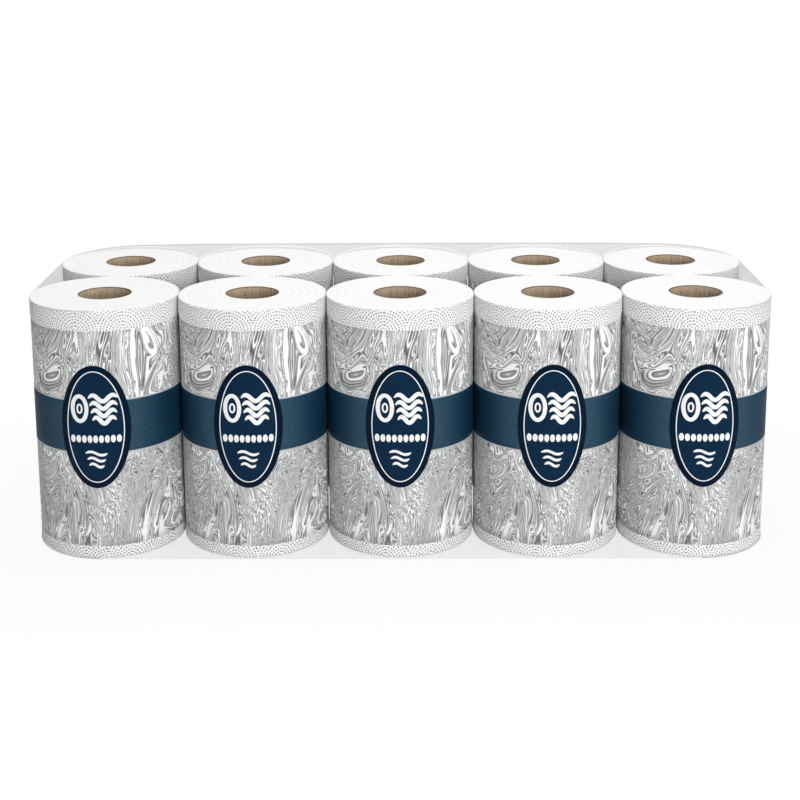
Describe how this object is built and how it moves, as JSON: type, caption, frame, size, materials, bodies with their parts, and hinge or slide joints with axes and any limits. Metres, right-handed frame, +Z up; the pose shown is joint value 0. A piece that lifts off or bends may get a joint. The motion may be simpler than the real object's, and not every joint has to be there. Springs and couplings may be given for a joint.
{
  "type": "toilet paper roll pack",
  "caption": "Toilet paper rolls standing on end in two rows, each in a marbled sleeve with a belt and an oval medallion, held together by one clear film.",
  "frame": {"origin": "middle of the film's flat base, on the surface that the pack stands on", "axes": "+X along the longer row of rolls, +Y to the back, +Z up along the rolls; the medallions face -Y"},
  "size_m": [0.5558, 0.2228, 0.1905],
  "materials": {
    "cardboard": "matt grey-brown spiral-wound board",
    "tissue": "soft matt white, embossed with dots",
    "marbled_print": "satin, grey marbling with white veins",
    "belt_print": "satin dark blue print",
    "film": "clear glossy film"
  },
  "bodies": {
    "root": {"core_tube_01": "cardboard", "tissue_roll_01": "tissue", "printed_sleeve_01": "marbled_print", "belt_label_01": "belt_print", "core_tube_02": "cardboard", "tissue_roll_02": "tissue", "printed_sleeve_02": "marbled_print", "belt_label_02": "belt_print", "core_tube_03": "cardboard", "tissue_roll_03": "tissue", "printed_sleeve_03": "marbled_print", "belt_label_03": "belt_print", "core_tube_04": "cardboard", "tissue_roll_04": "tissue", "printed_sleeve_04": "marbled_print", "belt_label_04": "belt_print", "core_tube_05": "cardboard", "tissue_roll_05": "tissue", "printed_sleeve_05": "marbled_print", "belt_label_05": "belt_print", "core_tube_06": "cardboard", "tissue_roll_06": "tissue", "printed_sleeve_06": "marbled_print", "belt_label_06": "belt_print", "core_tube_07": "cardboard", "tissue_roll_07": "tissue", "printed_sleeve_07": "marbled_print", "belt_label_07": "belt_print", "core_tube_08": "cardboard", "tissue_roll_08": "tissue", "printed_sleeve_08": "marbled_print", "belt_label_08": "belt_print", "core_tube_09": "cardboard", "tissue_roll_09": "tissue", "printed_sleeve_09": "marbled_print", "belt_label_09": "belt_print", "core_tube_10": "cardboard", "tissue_roll_10": "tissue", "printed_sleeve_10": "marbled_print", "belt_label_10": "belt_print", "clear_film": "film"}
  },
  "joints": []
}
